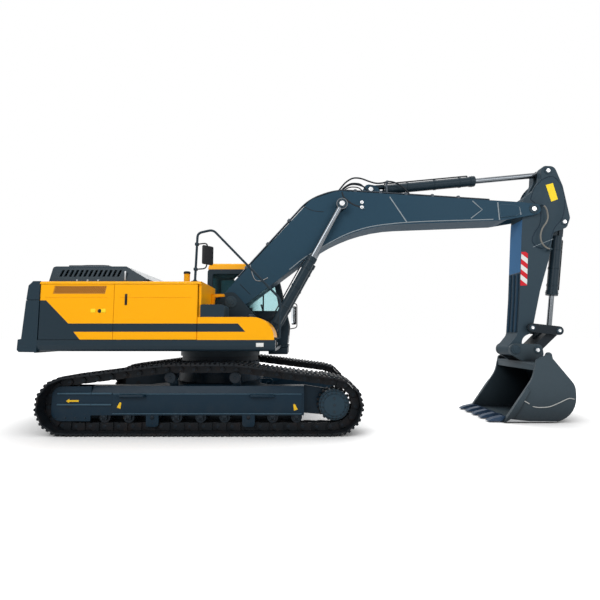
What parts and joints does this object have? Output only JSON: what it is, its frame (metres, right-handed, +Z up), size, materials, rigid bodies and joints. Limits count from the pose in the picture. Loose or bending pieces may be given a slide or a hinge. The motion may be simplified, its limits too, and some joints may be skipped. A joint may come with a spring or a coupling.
{
  "type": "crawler excavator",
  "caption": "Crawler excavator with tracked undercarriage, slewing house with cab and counterweight, boom, arm and bucket on coupled cylinders.",
  "frame": {"origin": "on the ground under the middle of the bounding box", "axes": "+X forward along the boom, +Y to the machine's left, +Z up"},
  "size_m": [9.7917, 3.2, 4.75],
  "materials": {
    "yellow_paint": "semi-gloss",
    "slate_paint": "semi-gloss",
    "counterweight_paint": "painted",
    "boom_paint": "semi-gloss",
    "arm_paint": "worn",
    "worn_iron": "worn",
    "rod_chrome": "polished",
    "black_plastic": "grained",
    "lamp_lens": "clear",
    "tinted_glass": "tinted"
  },
  "bodies": {
    "undercarriage": {"car_body": "slate_paint", "track_frames": "slate_paint", "track_left": "worn_iron", "track_right": "worn_iron", "idlers": "worn_iron", "sprockets": "worn_iron", "final_drives": "slate_paint", "rollers": "worn_iron", "slew_ring": "worn_iron"},
    "house": {"revolving_frame": "slate_paint", "counterweight": "counterweight_paint", "side_skirts": "slate_paint", "fuel_tank": "yellow_paint", "step_box": "slate_paint", "bay_walls": "yellow_paint", "deck_covers": "yellow_paint", "hinge_rods": "worn_iron", "engine": "worn_iron", "exhaust": "yellow_paint", "handrail": "slate_paint", "mirrors": "black_plastic", "cab_frame": "slate_paint", "cab_roof": "yellow_paint", "cab_glass": "tinted_glass", "seat": "black_plastic", "consoles": "black_plastic", "lamps": "lamp_lens"},
    "right_rear_door": {"right_rear_door": "yellow_paint", "right_grille": "worn_iron"},
    "right_front_door": {"right_front_door": "yellow_paint"},
    "left_rear_door": {"left_rear_door": "yellow_paint", "left_grille": "worn_iron"},
    "left_front_door": {"left_front_door": "yellow_paint"},
    "engine_hood": {"engine_hood": "slate_paint"},
    "cab_door": {"cab_door": "slate_paint", "cab_door_glass": "tinted_glass"},
    "boom": {"boom": "boom_paint", "boom_pipes": "worn_iron"},
    "boom_barrels": {"boom_barrels": "slate_paint"},
    "boom_rods": {"boom_rods": "rod_chrome"},
    "arm_barrel": {"arm_barrel": "slate_paint"},
    "arm_rod": {"arm_rod": "rod_chrome"},
    "arm": {"arm": "arm_paint", "arm_hose": "black_plastic"},
    "bucket_barrel": {"bucket_barrel": "slate_paint"},
    "bucket_rod": {"bucket_rod": "rod_chrome"},
    "guide_links": {"guide_links": "arm_paint"},
    "bucket_link": {"bucket_link": "arm_paint"},
    "bucket": {"bucket": "arm_paint", "bucket_teeth": "worn_iron"}
  },
  "joints": [
    {"name": "swing", "type": "hinge", "parent": "undercarriage", "child": "house", "pos_m": [-1.745, 0, 1.12], "axis": [0, 0, 1], "continuous": true},
    {"name": "boom_lift", "type": "hinge", "parent": "house", "child": "boom", "pos_m": [-1.518, 0, 2.102], "axis": [0, -1, 0], "range_deg": [-58, 40]},
    {"name": "arm_swing", "type": "hinge", "parent": "boom", "child": "arm", "pos_m": [4.185, 0, 3.875], "axis": [0, 1, 0], "range_deg": [-85, 30]},
    {"name": "bucket_curl", "type": "hinge", "parent": "arm", "child": "bucket", "pos_m": [3.715, 0, 1.23], "axis": [0, 1, 0], "range_deg": [-36, 125]},
    {"name": "boom_barrel_swing", "type": "hinge", "parent": "house", "child": "boom_barrels", "pos_m": [-0.799, 0, 1.495], "axis": [0, -1, 0], "range_deg": [-59, 41]},
    {"name": "boom_rod_slide", "type": "slide", "parent": "boom_barrels", "child": "boom_rods", "axis": [0.4809, 0, 0.8768], "range_m": [-0.855, 0.596]},
    {"name": "arm_barrel_swing", "type": "hinge", "parent": "boom", "child": "arm_barrel", "pos_m": [1.131, 0, 4.316], "axis": [0, 1, 0], "range_deg": [-2, 2]},
    {"name": "arm_rod_slide", "type": "slide", "parent": "arm_barrel", "child": "arm_rod", "axis": [0.9953, 0, 0.0965], "range_m": [-1.073, 0.392]},
    {"name": "bucket_barrel_swing", "type": "hinge", "parent": "arm", "child": "bucket_barrel", "pos_m": [4.785, 0, 3.64], "axis": [0, 1, 0], "range_deg": [-4, 10]},
    {"name": "bucket_rod_slide", "type": "slide", "parent": "bucket_barrel", "child": "bucket_rod", "axis": [-0.1367, 0, -0.9906], "range_m": [-0.178, 0.57]},
    {"name": "guide_link_swing", "type": "hinge", "parent": "arm", "child": "guide_links", "pos_m": [4.008, 0, 1.63], "axis": [0, 1, 0], "range_deg": [-26, 88]},
    {"name": "bucket_link_swing", "type": "hinge", "parent": "guide_links", "child": "bucket_link", "pos_m": [4.5, 0, 1.575], "axis": [0, 1, 0], "range_deg": [-81, 25]},
    {"name": "cab_door_swing", "type": "hinge", "parent": "house", "child": "cab_door", "pos_m": [-1.5675, 1.4475, 2.1], "axis": [0, 0, 1], "range_deg": [0, 90]},
    {"name": "right_rear_door_swing", "type": "hinge", "parent": "house", "child": "right_rear_door", "pos_m": [-4.2465, -1.4675, 1.85], "axis": [0, 0, -1], "range_deg": [0, 90]},
    {"name": "right_front_door_swing", "type": "hinge", "parent": "house", "child": "right_front_door", "pos_m": [-1.8515, -1.4675, 1.85], "axis": [0, 0, 1], "range_deg": [0, 90]},
    {"name": "left_rear_door_swing", "type": "hinge", "parent": "house", "child": "left_rear_door", "pos_m": [-4.2465, 1.4675, 1.85], "axis": [0, 0, 1], "range_deg": [0, 90]},
    {"name": "left_front_door_swing", "type": "hinge", "parent": "house", "child": "left_front_door", "pos_m": [-2.1935, 1.4675, 1.85], "axis": [0, 0, 1], "range_deg": [-90, 0]},
    {"name": "engine_hood_lift", "type": "hinge", "parent": "house", "child": "engine_hood", "pos_m": [-2.735, 0, 2.37], "axis": [0, 1, 0], "range_deg": [0, 60]}
  ],
  "couplings": [
    {"joint": "boom_barrel_swing", "follows": "boom_lift", "ratio": 0.985},
    {"joint": "boom_rod_slide", "follows": "boom_lift", "m_per_rad": 0.825},
    {"joint": "arm_barrel_swing", "follows": "arm_swing", "ratio": 0.007},
    {"joint": "arm_rod_slide", "follows": "arm_swing", "m_per_rad": 0.71},
    {"joint": "bucket_barrel_swing", "follows": "bucket_curl", "ratio": 0.07},
    {"joint": "bucket_rod_slide", "follows": "bucket_curl", "m_per_rad": 0.252},
    {"joint": "guide_link_swing", "follows": "bucket_curl", "ratio": 0.69},
    {"joint": "bucket_link_swing", "follows": "bucket_curl", "ratio": -0.64}
  ]
}
